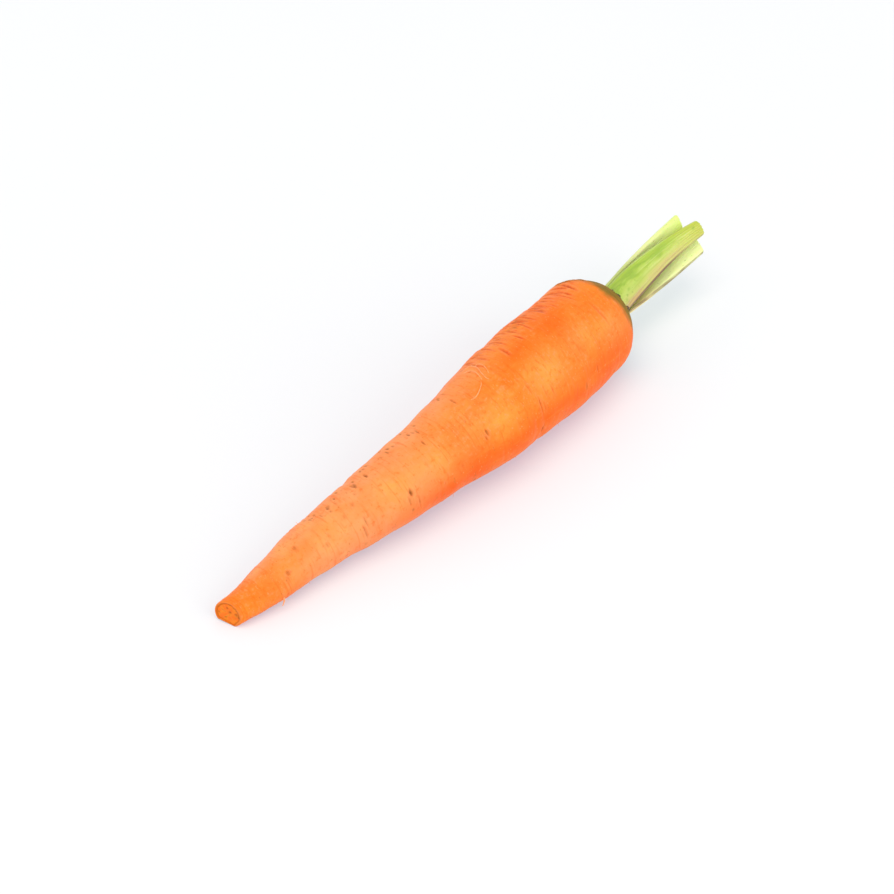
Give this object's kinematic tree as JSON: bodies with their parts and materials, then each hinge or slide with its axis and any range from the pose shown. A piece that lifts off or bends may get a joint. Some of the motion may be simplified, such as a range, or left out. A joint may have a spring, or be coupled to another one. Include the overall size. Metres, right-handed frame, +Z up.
{
  "type": "carrot",
  "caption": "Fresh orange carrot lying on its side: a tapering root with rounded shoulder, a cut tip and short cut-off green leaf stalks at the crown.",
  "frame": {"origin": "on the table, under the middle of the whole carrot's bounding box", "axes": "+X along the root from its cut tip to its crown, +Z up, +Y to the left seen from the tip"},
  "size_m": [0.1983, 0.033, 0.0311],
  "materials": {
    "carrot_skin": "satin",
    "stalk_skin": "satin",
    "dry_scales": "matte"
  },
  "bodies": {
    "root": {"root": "carrot_skin", "crown_scales": "dry_scales", "leaf_stalk_front": "stalk_skin", "leaf_stalk_left": "stalk_skin", "leaf_stalk_right": "stalk_skin", "leaf_stalk_inner": "stalk_skin"}
  },
  "joints": []
}
